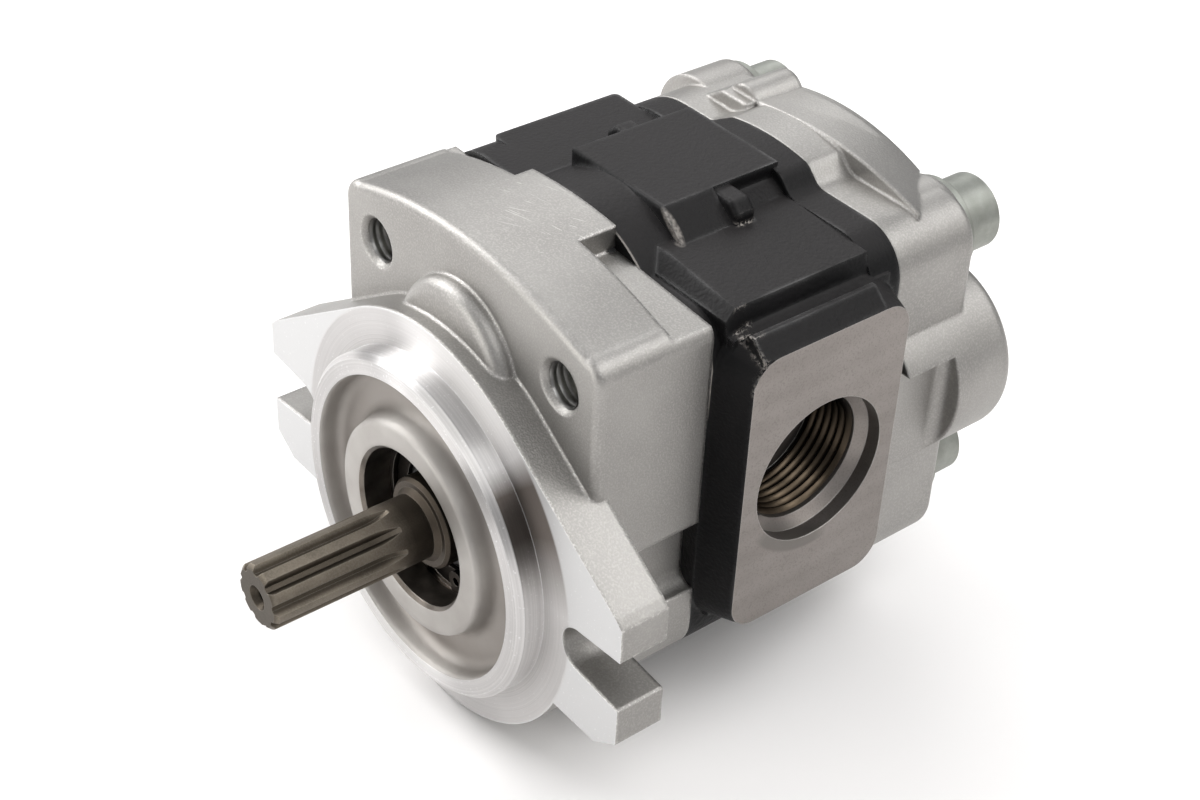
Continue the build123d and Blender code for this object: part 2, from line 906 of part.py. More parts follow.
with BuildPart() as rear_rim:
    loft([rear_crown_front, rear_crown_back])
    extrude(to_extrude=rear_lobes.sketch, amount=rear_cover_thickness - rear_shelf_length)
    extrude(to_extrude=lump_bank, amount=lump_bank_length)
    fillet(rear_rim.faces().sort_by(Axis.Y)[-1].edges(), cast_blend)
with BuildPart() as rear_cover:
    extrude(to_extrude=rear_section(rear_face), amount=rear_cover_thickness)
    fillet(rear_cover.faces().sort_by(Axis.Y)[-1].edges(), cast_blend)
    add(rear_rim.part)
    # Round boss beside the tie bolts on the inlet side
    with BuildSketch(across(rear_boss_end)) as rear_boss:
        with Locations((bolt_x + rear_boss_offset, port_height)):
            Circle(rear_boss_radius)
    extrude(amount=rear_boss_rise + rear_cover_thickness - rear_boss_start)
    fillet(rear_cover.faces().sort_by(Axis.Y)[-1].edges(), rear_boss_blend)
    # Flat on the boss, beside the inlet face
    with BuildSketch(Plane.XY.offset(port_height + boss_flat_top)) as flat_cut:
        with BuildLine():
            Polyline(
                (boss_flat, rear_joint - cutter_overrun),
                (boss_side, rear_joint - cutter_overrun),
                (boss_side, rear_joint + rear_boss_start + boss_flat_length),
                (boss_flat, rear_joint + rear_boss_start + boss_flat_length),
                close=True,
            )
        make_face()
        fillet(flat_cut.vertices().group_by(Axis.X)[0].sort_by(Axis.Y)[-1], boss_flat_blend)
    extrude(amount=-boss_flat_top - rear_boss_radius, mode=Mode.SUBTRACT)
    # Seats for the bolt washers
    extrude(
        to_extrude=discs(rear_boss_end, spotface_radius, bolt_places),
        amount=rear_boss_rise,
        mode=Mode.SUBTRACT,
    )
    extrude(
        to_extrude=discs(rear_face, bolt_hole_radius, bolt_places),
        amount=rear_cover_thickness,
        mode=Mode.SUBTRACT,
    )
    # Bearing bores, dowel holes and the groove of the body seal
    extrude(
        to_extrude=discs(rear_joint, bush_bore_radius, gear_axes),
        amount=-bush_bore_depth,
        mode=Mode.SUBTRACT,
    )
    extrude(
        to_extrude=discs(rear_joint, dowel_hole_radius, dowel_places),
        amount=-dowel_depth,
        mode=Mode.SUBTRACT,
    )
    extrude(
        to_extrude=stadium_ring(
            rear_joint, chamber_radius + body_seal_wall, body_seal_width + 2 * seal_side_gap
        ),
        amount=-body_seal_depth,
        mode=Mode.SUBTRACT,
    )

# Drive gear and its shaft, with the splined end
neck_end = -neck_setback
shaft_end = -spline_reach
spline_end = spline_full_length - spline_reach
shaft_profile = turned(
    [
        (0, shaft_end),
        (spline_outer_radius - shaft_end_chamfer, shaft_end),
        (spline_outer_radius, shaft_end + shaft_end_chamfer),
        (spline_outer_radius, neck_end - neck_blend),
        (spline_outer_radius + neck_blend, neck_end),
        (journal_radius - journal_front_chamfer, neck_end),
        (journal_radius, neck_end + journal_front_chamfer),
        (journal_radius, journal_rear - journal_chamfer),
        (journal_radius - journal_chamfer, journal_rear),
        (0, journal_rear),
    ]
)
groove_outer_half = math.pi * spline_outer_radius / spline_teeth - spline_land_width / 2
groove_slope = (groove_outer_half - spline_root_gap / 2) / spline_depth
groove_mouth_half = groove_outer_half + groove_slope * cutter_overrun
cutter_centre = spline_root_radius + spline_runout_radius
groove_section = wedge(
    spline_end,
    [
        (-spline_root_gap / 2, spline_root_radius),
        (spline_root_gap / 2, spline_root_radius),
        (groove_mouth_half, spline_outer_radius + cutter_overrun),
        (-groove_mouth_half, spline_outer_radius + cutter_overrun),
    ],
)
with BuildPart() as groove_cutter:
    extrude(to_extrude=groove_section, amount=spline_full_length + cutter_overrun)
    revolve(
        groove_section,
        axis=Axis((0, spline_end, cutter_centre), (1, 0, 0)),
        revolution_arc=spline_runout_arc,
    )
with BuildPart() as drive_gear_shaft:
    revolve(shaft_profile, axis=Axis.Y)
    extrude(to_extrude=gear_outline(gear_rear, gear_axes[0], 90), amount=gear_rear - gear_front)
    for tooth in range(spline_teeth):
        turn = 360 / spline_teeth * tooth
        add(groove_cutter.part.rotate(Axis.Y, turn), mode=Mode.SUBTRACT)
    # Centre hole in the shaft end
    cone_slope = (centre_cone_radius - centre_hole_radius) / centre_cone_depth
    centre_profile = turned(
        [
            (0, shaft_end - cutter_overrun),
            (centre_cone_radius + cone_slope * cutter_overrun, shaft_end - cutter_overrun),
            (centre_hole_radius, shaft_end + centre_cone_depth),
            (centre_hole_radius, shaft_end + centre_hole_depth),
            (0, shaft_end + centre_hole_depth + centre_drill_tip),
        ]
    )
    revolve(centre_profile, axis=Axis.Y, mode=Mode.SUBTRACT)

# Idler gear with its journals
with BuildPart() as idler_gear:
    extrude(
        to_extrude=discs(journal_rear, journal_radius, [gear_axes[1]]),
        amount=journal_rear - journal_front,
    )
    chamfer(idler_gear.edges().filter_by(GeomType.CIRCLE), journal_chamfer)
    extrude(
        to_extrude=gear_outline(gear_rear, gear_axes[1], -90 + 180 / gear_teeth),
        amount=gear_rear - gear_front,
    )


def bush(front, centre):
    """Wrapped bearing bush with its butt joint facing away from the mesh."""
    with BuildPart() as piece:
        extrude(
            to_extrude=ring(front + bush_length, bush_radius, journal_radius + running_gap, centre),
            amount=bush_length,
        )
        joint_side = -1 if centre[1] == 0 else 1
        with BuildSketch(across(front + bush_length)) as butt:
            with Locations((centre[0], centre[1] + joint_side * bush_radius)):
                Rectangle(bush_joint, 2 * bush_radius - journal_radius)
        extrude(amount=bush_length, mode=Mode.SUBTRACT)
    return piece


def load_band(depth, inner, outer):
    """Three-shaped band round the outlet side of both journals."""
    with BuildSketch(across(depth)) as face:
        with Locations(*gear_axes):
            Circle(outer)
        with Locations(*gear_axes):
            Circle(inner, mode=Mode.SUBTRACT)
        with Locations((chamber_radius, port_height)):
            Rectangle(2 * chamber_radius, gear_centres + 2 * chamber_radius, mode=Mode.SUBTRACT)
    return face.sketch


def side_plate(back, facing):
    """Pressure-loaded side plate; facing is 1 where the gears lie deeper than the plate."""
    with BuildPart() as piece:
        extrude(
            to_extrude=discs(back, plate_radius, gear_axes),
            amount=-facing * side_plate_thickness,
        )
        extrude(
            to_extrude=discs(back, journal_radius + plate_journal_gap, gear_axes),
            amount=-facing * side_plate_thickness,
            mode=Mode.SUBTRACT,
        )
        extrude(
            to_extrude=load_band(back, backup_inner - seal_side_gap, load_seal_outer + seal_side_gap),
            amount=-facing * load_seal_depth,
            mode=Mode.SUBTRACT,
        )
    return piece


def band_piece(back, facing, inner, outer):
    """Load seal or backup strip, from the cover face down to the groove's floor."""
    with BuildPart() as piece:
        extrude(
            to_extrude=load_band(back, inner, outer),
            amount=-facing * (load_seal_depth + plate_float),
        )
    return piece


# Bearing bushes
bush_front_start = front_joint - bush_setback - bush_length
bush_rear_start = rear_joint + bush_setback
front_drive_bush = bush(bush_front_start, gear_axes[0])
front_idler_bush = bush(bush_front_start, gear_axes[1])
rear_drive_bush = bush(bush_rear_start, gear_axes[0])
rear_idler_bush = bush(bush_rear_start, gear_axes[1])

# Side plates with their load seals and backup strips
plate_radius = chamber_radius - plate_gap
load_seal_outer = plate_radius - load_seal_setback
backup_outer = load_seal_outer - load_seal_width
backup_inner = backup_outer - backup_width
front_side_plate = side_plate(front_joint + plate_float, 1)
rear_side_plate = side_plate(rear_joint - plate_float, -1)
front_load_seal = band_piece(front_joint, 1, backup_outer, load_seal_outer)
rear_load_seal = band_piece(rear_joint, -1, backup_outer, load_seal_outer)
front_backup_strip = band_piece(front_joint, 1, backup_inner, backup_outer)
rear_backup_strip = band_piece(rear_joint, -1, backup_inner, backup_outer)

# Body seals in the grooves of both covers
body_seal_inner = chamber_radius + body_seal_wall + seal_side_gap
with BuildPart() as front_body_seal:
    extrude(
        to_extrude=stadium_ring(front_joint, body_seal_inner, body_seal_width),
        amount=body_seal_depth,
    )
with BuildPart() as rear_body_seal:
    extrude(
        to_extrude=stadium_ring(rear_joint, body_seal_inner, body_seal_width),
        amount=-body_seal_depth,
    )

# Shaft seal: pressed case, rubber lip and garter spring
case_radius = seal_bore_radius - seat_gap
case_inner = case_radius - seal_case_wall
case_window = journal_radius + seal_case_window
seal_rear = seal_front + seal_width
lip_root = seal_front + seal_case_wall
lip_edge = lip_root + lip_edge_depth
lip_tip = journal_radius + running_gap
lip_inner = lip_tip + lip_width
lip_outer = lip_tip + lip_section
with BuildPart() as shaft_seal_case:
    revolve(
        turned(
            [
                (case_radius, seal_front),
                (case_radius, seal_rear),
                (case_inner, seal_rear),
                (case_inner, lip_root),
                (case_window, lip_root),
                (case_window, seal_front),
            ]
        ),
        axis=Axis.Y,
    )
with BuildPart() as shaft_seal_lip:
    revolve(
        turned(
            [
                (case_inner, lip_root),
                (case_inner, lip_root + lip_flange),
                (lip_outer, lip_root + lip_flange),
                (lip_outer, lip_edge + lip_nose),
                (lip_inner, lip_edge + lip_nose),
                (lip_tip, lip_edge),
                (lip_inner, lip_edge - lip_taper),
                (lip_inner, lip_root),
                (lip_tip + dust_lip_gap, lip_root - dust_lip_reach),
                (lip_inner, lip_root - dust_lip_reach),
                (case_window, lip_root),
            ]
        ),
        axis=Axis.Y,
    )
with BuildPart() as seal_garter_spring:
    with BuildSketch(Plane.XY) as wire:
        with Locations((lip_outer + garter_wire, lip_edge)):
            RegularPolygon(garter_wire, 8)
    revolve(axis=Axis.Y)

# Internal circlip in front of the shaft seal
circlip_outer = circlip_groove_radius - seat_gap
circlip_inner = circlip_outer - circlip_width
eye_circle = circlip_inner - circlip_eye_radius + circlip_eye_overlap
eye_turn = circlip_opening / 2 + math.degrees(circlip_eye_radius / eye_circle)
eyes = [polar(eye_circle, circlip_gap_angle + side * eye_turn) for side in (-1, 1)]
with BuildPart() as seal_circlip:
    with BuildSketch(across(circlip_front + circlip_thickness)) as clip:
        Circle(circlip_outer)
        Circle(circlip_inner, mode=Mode.SUBTRACT)
        with BuildLine():
            Polyline(
                (0, 0),
                polar(2 * circlip_outer, circlip_gap_angle - circlip_opening / 2),
                polar(2 * circlip_outer, circlip_gap_angle + circlip_opening / 2),
                close=True,
            )
        make_face(mode=Mode.SUBTRACT)
        with Locations(*eyes):
            Circle(circlip_eye_radius)
        with Locations(*eyes):
            Circle(circlip_eye_hole, mode=Mode.SUBTRACT)
    extrude(amount=circlip_thickness)


def dowels(depth):
    """Pair of dowel pins across one joint."""
    half_length = dowel_depth - dowel_end_gap
    with BuildPart() as piece:
        extrude(
            to_extrude=discs(depth + half_length, dowel_radius, dowel_places),
            amount=2 * half_length,
        )
        chamfer(piece.edges().filter_by(GeomType.CIRCLE), dowel_chamfer)
    return piece


front_dowel_pins = dowels(front_joint)
rear_dowel_pins = dowels(rear_joint)

# Tie bolts with socket heads, and their washers
head_seat = rear_face + washer_thickness
with BuildPart() as bolt_washers:
    extrude(to_extrude=discs(head_seat, washer_radius, bolt_places), amount=washer_thickness)
    extrude(
        to_extrude=discs(head_seat, bolt_hole_radius, bolt_places),
        amount=washer_thickness,
        mode=Mode.SUBTRACT,
    )
bolt_count = len(bolt_places)
with BuildPart() as tie_bolts:
    extrude(
        to_extrude=discs(head_seat + bolt_head_height, bolt_head_radius, bolt_places),
        amount=bolt_head_height,
    )
    chamfer(tie_bolts.faces().sort_by(Axis.Y)[-bolt_count:].edges(), bolt_head_chamfer)
    extrude(
        to_extrude=discs(head_seat, bolt_radius, bolt_places),
        amount=head_seat - tie_bolt_tip,
    )
    chamfer(tie_bolts.faces().sort_by(Axis.Y)[:bolt_count].edges(), bolt_tip_chamfer)
    with BuildSketch(across(head_seat + bolt_head_height)) as sockets:
        with Locations(*bolt_places):
            RegularPolygon(bolt_socket_width / 2, 6, major_radius=False)
    extrude(amount=bolt_socket_depth, mode=Mode.SUBTRACT)

pieces = {
    "front_cover": front_cover,
    "pump_body": pump_body,
    "rear_cover": rear_cover,
    "drive_gear_shaft": drive_gear_shaft,
    "idler_gear": idler_gear,
    "front_drive_bush": front_drive_bush,
    "front_idler_bush": front_idler_bush,
    "rear_drive_bush": rear_drive_bush,
    "rear_idler_bush": rear_idler_bush,
    "front_side_plate": front_side_plate,
    "rear_side_plate": rear_side_plate,
    "front_load_seal": front_load_seal,
    "rear_load_seal": rear_load_seal,
    "front_backup_strip": front_backup_strip,
    "rear_backup_strip": rear_backup_strip,
    "front_body_seal": front_body_seal,
    "rear_body_seal": rear_body_seal,
    "shaft_seal_case": shaft_seal_case,
    "shaft_seal_lip": shaft_seal_lip,
    "seal_garter_spring": seal_garter_spring,
    "seal_circlip": seal_circlip,
    "front_dowel_pins": front_dowel_pins,
    "rear_dowel_pins": rear_dowel_pins,
    "tie_bolts": tie_bolts,
    "bolt_washers": bolt_washers,
}
os.makedirs("parts", exist_ok=True)
for name, piece in pieces.items():
    piece.part.label = name
    export_step(piece.part, "parts/" + name + ".step")
    print(name, round(piece.part.volume), len(piece.part.solids()))
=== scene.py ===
import math

import bmesh
import bpy
from mathutils import Matrix, Vector


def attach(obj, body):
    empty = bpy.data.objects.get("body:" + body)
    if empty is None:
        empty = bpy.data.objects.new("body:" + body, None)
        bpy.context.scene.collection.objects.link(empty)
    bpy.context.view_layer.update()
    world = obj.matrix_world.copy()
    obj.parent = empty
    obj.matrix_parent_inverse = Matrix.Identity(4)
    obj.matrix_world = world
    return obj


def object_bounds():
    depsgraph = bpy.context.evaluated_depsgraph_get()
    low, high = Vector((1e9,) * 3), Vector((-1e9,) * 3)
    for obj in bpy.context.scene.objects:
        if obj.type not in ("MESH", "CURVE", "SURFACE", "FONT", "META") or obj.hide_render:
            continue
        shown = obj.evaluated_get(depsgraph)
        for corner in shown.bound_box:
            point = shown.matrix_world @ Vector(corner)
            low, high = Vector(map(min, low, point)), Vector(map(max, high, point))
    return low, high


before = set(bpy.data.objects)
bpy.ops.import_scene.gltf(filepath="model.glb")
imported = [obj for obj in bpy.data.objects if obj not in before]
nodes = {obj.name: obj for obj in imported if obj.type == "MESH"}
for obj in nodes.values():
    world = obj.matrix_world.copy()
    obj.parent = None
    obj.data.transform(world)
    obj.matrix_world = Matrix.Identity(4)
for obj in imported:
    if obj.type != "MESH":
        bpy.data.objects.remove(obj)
cad_low, cad_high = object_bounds()

# Distances in this scene are metres, and MM turns the pump's millimetres into them
MM = 0.001

# Places taken over from the pump's own sizes, in millimetres
flange_disc_radius = 50.0
pilot_radius = 41.3
pilot_front = -6.35
pilot_edge_radius = 39.8
seal_bore_radius = 19.0
seal_bore_end = 11.2
circlip_groove_radius = 21.5
recess_rim_radius = 36.4
front_joint = 38.3
rear_joint = 90.0
port_depth = 64.0
port_height = 20.0
port_radius = 18.3
port_end = 24.0
inlet_face = 55.0
outlet_face = 50.0
bolt_x = 33.0
bolt_heights = (-12.5, 52.5)
cover_face = 8.6

# A face whose middle is this close to one of those places counts as lying on it
slack = 0.1

# Sockets that only a number tells apart: the two operands of a maths node, and the share, the two
# numbers and the two colours that a Mix node blends
FIRST, SECOND = 0, 1
SHARE, NUMBER_UNDER, NUMBER_OVER, UNDER, OVER = 0, 2, 3, 6, 7


def linear(code):
    """Linear red, green, blue and alpha of an sRGB hex colour."""
    parts = [int(code[at : at + 2], 16) / 255 for at in (1, 3, 5)]
    return (*[p / 12.92 if p <= 0.04045 else ((p + 0.055) / 1.055) ** 2.4 for p in parts], 1.0)


def grain(size):
    """Texture scale whose features are this many millimetres across."""
    return 1 / (size * MM)


def put(finish, kind, links=None, **settings):
    """Adds one node to a finish with its settings, and sets or links its sockets.

    Where a whole node is given for a socket, its first output in use is linked.
    """
    node = finish.nodes.new(kind)
    for name, value in settings.items():
        setattr(node, name, value)
    for name, value in (links or {}).items():
        if isinstance(value, bpy.types.Node):
            value = next(output for output in value.outputs if output.enabled)
        if isinstance(value, bpy.types.NodeSocket):
            finish.links.new(value, node.inputs[name])
        else:
            node.inputs[name].default_value = value
    return node


def begin(name):
    """Empty material with its node tree and the pump's own coordinates."""
    material = bpy.data.materials.new(name)
    material.use_nodes = True
    finish = material.node_tree
    finish.nodes.clear()
    place = put(finish, "ShaderNodeTexCoord").outputs["Object"]
    return material, finish, place


def close(finish, links):
    """Ends a finish with its surface shader and the output."""
    shader = put(finish, "ShaderNodeBsdfPrincipled", links)
    put(finish, "ShaderNodeOutputMaterial", {"Surface": shader})


def layered(finish, base, layers):
    """Colour that begins with a base tone and has further tones laid over it, each by its share."""
    body = linear(base)
    for share, tone in layers:
        links = {SHARE: share, UNDER: body, OVER: linear(tone)}
        body = put(finish, "ShaderNodeMix", links, data_type="RGBA")
    return body


def within(finish, share, limits):
    """Share kept only where each value is past its limit; a limit has a start and a full end."""
    for value, start, full in limits:
        links = {"Value": value, "From Min": start, "From Max": full}
        passed = put(finish, "ShaderNodeMapRange", links)
        share = put(finish, "ShaderNodeMath", {FIRST: share, SECOND: passed}, operation="MULTIPLY")
    return share


def near(finish, place, middle, reach):
    """Share that is one close to a spot on the pump and none beyond its reach, in millimetres."""
    links = {
        "Vector": place,
        "Location": [-at / far for at, far in zip(middle, reach)],
        "Scale": [grain(far) for far in reach],
    }
    moved = put(finish, "ShaderNodeMapping", links)
    away = put(finish, "ShaderNodeVectorMath", {FIRST: moved}, operation="LENGTH")
    return put(finish, "ShaderNodeMapRange", {"Value": away, "From Min": 1.0, "From Max": 0.7})


def away_from_axis(finish, place, across):
    """Distance from an axis through the origin; across is none along it and one to its sides."""
    links = {FIRST: place, SECOND: across}
    flat = put(finish, "ShaderNodeVectorMath", links, operation="MULTIPLY")
    return put(finish, "ShaderNodeVectorMath", {FIRST: flat}, operation="LENGTH")


def rounded_edges(finish, reach, sharp):
    """Normal that rounds every edge over reach millimetres, and a share that rises on edges."""
    rounded = put(finish, "ShaderNodeBevel", {"Radius": reach * MM}, samples=4)
    true = put(finish, "ShaderNodeNewGeometry").outputs["Normal"]
    links = {FIRST: rounded, SECOND: true}
    facing = put(finish, "ShaderNodeVectorMath", links, operation="DOT_PRODUCT")
    links = {"Value": facing, "From Min": 1.0, "From Max": sharp}
    return rounded, put(finish, "ShaderNodeMapRange", links)


def scratches(finish, place, turn, length):
    """Fine straight scratches: a noise drawn out along one direction and cut off near its top."""
    width = 0.3
    cut = 0.765
    turned = put(finish, "ShaderNodeMapping", {"Vector": place, "Rotation": (0, 0, turn)})
    links = {"Vector": turned, "Scale": (1 / length, 1 / width, 1 / width)}
    drawn = put(finish, "ShaderNodeMapping", links)
    lines = put(finish, "ShaderNodeTexNoise", {"Vector": drawn, "Scale": grain(1), "Detail": 0.0})
    links = {"Value": lines, "From Min": cut, "From Max": cut + 0.05}
    return put(finish, "ShaderNodeMapRange", links)


def die_cast_aluminium():
    """Shot-blasted die-cast aluminium: even pale grey, sandy, with painted highlights on round
    edges.
    """
    material, finish, place = begin("die_cast_aluminium")
    cloud = put(finish, "ShaderNodeTexNoise", {"Vector": place, "Scale": grain(25), "Detail": 3.0})
    tone = put(finish, "ShaderNodeMapRange", {"Value": cloud, "From Min": 0.35, "From Max": 0.65})
    # The shot leaves dimples near 0.2 mm wide; they are drawn at 0.45 mm so that they show
    links = {"Vector": place, "Scale": grain(0.45), "Detail": 2.0}
    dimple = put(finish, "ShaderNodeTexNoise", links)
    links = {"Value": dimple, "From Min": 0.45, "From Max": 0.7, "To Max": 0.5}
    fleck = put(finish, "ShaderNodeMapRange", links)
    layers = [(tone, "#9f9d9a"), (fleck, "#b3b0ac")]
    # Handling has left a few long faint scratches on the top of the front cover
    top = near(finish, place, middle=(4, 28, 70), reach=(24, 12, 5))
    for turn, length in ((-0.54, 16), (-0.25, 9)):
        links = {FIRST: scratches(finish, place, turn, length), SECOND: top}
        marks = put(finish, "ShaderNodeMath", links, operation="MULTIPLY")
        layers.append((marks, "#bebbb8"))
    # The rear cover was blasted longer, and its edges get less painted highlight and less gloss
    rounded, edge = rounded_edges(finish, reach=1.3, sharp=0.70)
    links = {
        "Value": put(finish, "ShaderNodeSeparateXYZ", {"Vector": place}).outputs["Y"],
        "From Min": (rear_joint - 4) * MM,
        "From Max": rear_joint * MM,
        "To Min": 1.0,
        "To Max": 0.3,
    }
    edge_highlight_and_gloss = put(finish, "ShaderNodeMapRange", links)
    edge = put(finish, "ShaderNodeMath", {FIRST: edge, SECOND: edge_highlight_and_gloss}, operation="MULTIPLY")
    # Painted highlight: rounded edges are lightened, and their dimples painted as glints
    painted_glint = within(finish, edge, [(dimple, 0.52, 0.62)])
    layers += [(edge, "#b6b3b0"), (painted_glint, "#e9e7e4")]
    dull = put(finish, "ShaderNodeMapRange", {"Value": edge, "To Min": 0.48, "To Max": 0.36})
    links = {"Height": dimple, "Strength": 0.5, "Distance": 0.14 * MM, "Normal": rounded}
    links = {
        "Base Color": layered(finish, "#93918e", layers),
        "Metallic": 1.0,
        "Roughness": dull,
        "Normal": put(finish, "ShaderNodeBump", links),
    }
    close(finish, links)
    return material


def as_cast_aluminium():
    """Die-cast aluminium left as cast in the pilot's recess: smooth, dull, brown in the corners."""
    material, finish, place = begin("as_cast_aluminium")
    cloud = put(finish, "ShaderNodeTexNoise", {"Vector": place, "Scale": grain(12), "Detail": 3.0})
    tone = put(finish, "ShaderNodeMapRange", {"Value": cloud, "From Min": 0.35, "From Max": 0.65})
    # The die's skin is finer than 0.1 mm; it is drawn at 0.5 mm so that it shows
    skin = put(finish, "ShaderNodeTexNoise", {"Vector": place, "Scale": grain(0.5), "Detail": 2.0})
    # The recess is darker and browner towards its floor
    depth = put(finish, "ShaderNodeSeparateXYZ", {"Vector": place}).outputs["Y"]
    darker_to_floor = within(finish, 0.75, [(depth, -4.5 * MM, -0.6 * MM)])
    rounded, edge = rounded_edges(finish, reach=2.4, sharp=0.70)
    dull = put(finish, "ShaderNodeMapRange", {"Value": edge, "To Min": 0.52, "To Max": 0.42})
    links = {"Height": skin, "Strength": 0.3, "Distance": 0.08 * MM, "Normal": rounded}
    links = {
        "Base Color": layered(finish, "#a6a29e", [(tone, "#b3b0ac"), (darker_to_floor, "#8a847f")]),
        "Metallic": 1.0,
        "Roughness": dull,
        "Normal": put(finish, "ShaderNodeBump", links),
    }
    close(finish, links)
    return material


def turned_aluminium():
    """Aluminium faced on a lathe: bright, with rings about the shaft that draw light into rays."""
    material, finish, place = begin("turned_aluminium")
    at = put(finish, "ShaderNodeSeparateXYZ", {"Vector": place}).outputs
    radius = away_from_axis(finish, place, (1, 0, 1))
    across = put(finish, "ShaderNodeCombineXYZ", {"X": radius, "Y": at["Y"]})
    # The lathe's feed is near 0.15 mm; it is drawn at 0.3 mm so that it shows
    links = {"Vector": across, "Scale": grain(0.3), "Detail": 1.0}
    rings = put(finish, "ShaderNodeTexNoise", links)
    tone = put(finish, "ShaderNodeMapRange", {"Value": rings, "From Min": 0.3, "From Max": 0.7})
    # Outside the disc the ears are milled, and dull
    links = {
        "Value": radius,
        "From Min": (flange_disc_radius - 0.6) * MM,
        "From Max": (flange_disc_radius + 0.2) * MM,
    }
    ears = put(finish, "ShaderNodeMapRange", links)
    speck = put(finish, "ShaderNodeTexNoise", {"Vector": place, "Scale": grain(0.6), "Detail": 2.0})
    dots = within(finish, 0.6, [(speck, 0.66, 0.72)])
    # Painted reflection: a dark brown patch on the right of the ring and of the pilot's side
    links = {FIRST: at["Z"], SECOND: at["X"]}
    turn = put(finish, "ShaderNodeMath", links, operation="ARCTAN2")
    limits = [
        (turn, 0.88, 0.74),
        (turn, 0.12, 0.5),
        (at["Y"], -5.2 * MM, -4.8 * MM),
        (ears, 1.0, 0.0),
    ]
    painted_dark_reflection = within(finish, 0.85, limits)
    rounded, edge = rounded_edges(finish, reach=0.35, sharp=0.80)
    layers = [
        (tone, "#cfcdcc"),
        (ears, "#c9c9c9"),
        (dots, "#ededed"),
        (painted_dark_reflection, "#51463d"),
        (edge, "#e6e6e6"),
    ]
    links = {"Height": rings, "Strength": 0.1, "Distance": 0.03 * MM, "Normal": rounded}
    grooves = put(finish, "ShaderNodeBump", links)
    links = {"Height": speck, "Strength": 0.25, "Distance": 0.05 * MM, "Normal": grooves}
    rough = put(finish, "ShaderNodeBump", links)
    cloud = put(finish, "ShaderNodeTexNoise", {"Vector": place, "Scale": grain(14), "Detail": 3.0})
    links = {"Value": cloud, "From Min": 0.3, "From Max": 0.7, "To Min": 0.41, "To Max": 0.46}
    dull = put(finish, "ShaderNodeMapRange", links)
    dull = put(finish, "ShaderNodeMix", {SHARE: ears, NUMBER_UNDER: dull, NUMBER_OVER: 0.42})
    # The quarter turn lays the long axis of the highlight across the grooves
    links = {
        "Base Color": layered(finish, "#c1bfbe", layers),
        "Metallic": 1.0,
        "Roughness": dull,
        "Anisotropic": within(finish, 0.95, [(ears, 1.0, 0.0)]),
        "Anisotropic Rotation": 0.25,
        "Normal": rough,
        "Tangent": put(finish, "ShaderNodeTangent", direction_type="RADIAL", axis="Y"),
    }
    close(finish, links)
    return material


def machined_iron():
    """Cast iron milled flat and left bare: warm mid grey, with faint wide arcs and dark pores."""
    material, finish, place = begin("machined_iron")
    # The cutter's centre passes above the port, so its marks are wide arcs across the face; the
    # real feed is finer than 1 mm and would not show. The wave texture turns 20 radians a unit
    cutter_height = 260
    arc_spacing = 6.9115
    links = {"Vector": place, "Location": (0.0, -port_depth * MM, -cutter_height * MM)}
    links = {
        "Vector": put(finish, "ShaderNodeMapping", links),
        "Scale": 2 * math.pi / 20 * grain(arc_spacing),
        "Distortion": 0.4,
        "Detail": 2.0,
    }
    sweeps = put(finish, "ShaderNodeTexWave", links, wave_type="RINGS", rings_direction="X")
    sweeps = sweeps.outputs["Fac"]
    lit = put(finish, "ShaderNodeMapRange", {"Value": sweeps, "To Max": 0.14})
    cloud = put(finish, "ShaderNodeTexNoise", {"Vector": place, "Scale": grain(16), "Detail": 4.0})
    tone = put(finish, "ShaderNodeMapRange", {"Value": cloud, "From Min": 0.35, "From Max": 0.65})
    # Graphite pores in cast iron are near 0.1 mm; they are drawn at 0.4 mm so that they show
    pores = put(finish, "ShaderNodeTexNoise", {"Vector": place, "Scale": grain(0.4), "Detail": 2.0})
    pores = within(finish, 0.4, [(pores, 0.5, 0.72)])
    # A sealing washer has left a dull ring low on the port face
    links = {"Vector": place, "Location": (0.0, -port_depth * MM, -port_height * MM)}
    radius = away_from_axis(finish, put(finish, "ShaderNodeMapping", links), (0, 1, 1))
    low = near(finish, place, middle=(55, 56, 1), reach=(6, 13, 12))
    low = put(finish, "ShaderNodeMapRange", {"Value": low, "To Max": 0.8})
    mark = within(finish, low, [(radius, 21.4 * MM, 20.6 * MM)])
    # Painted shade: the bore behind the counterbore is darkened
    side = put(finish, "ShaderNodeSeparateXYZ", {"Vector": place}).outputs["X"]
    side = put(finish, "ShaderNodeMath", {FIRST: side}, operation="ABSOLUTE")
    painted_bore_shade = within(finish, 0.8, [(side, 49.6 * MM, 46 * MM), (radius, 19 * MM, 18 * MM)])
    rounded, edge = rounded_edges(finish, reach=0.35, sharp=0.80)
    layers = [
        (tone, "#89837f"),
        (lit, "#9e9a95"),
        (pores, "#615b55"),
        (mark, "#6d6965"),
        (painted_bore_shade, "#35302b"),
        (edge, "#bab7b3"),
    ]
    links = {"Height": sweeps, "Strength": 0.12, "Distance": 0.03 * MM, "Normal": rounded}
    links = {
        "Base Color": layered(finish, "#817b77", layers),
        "Metallic": 0.9,
        "Roughness": 0.42,
        "Normal": put(finish, "ShaderNodeBump", links),
    }
    close(finish, links)
    return material


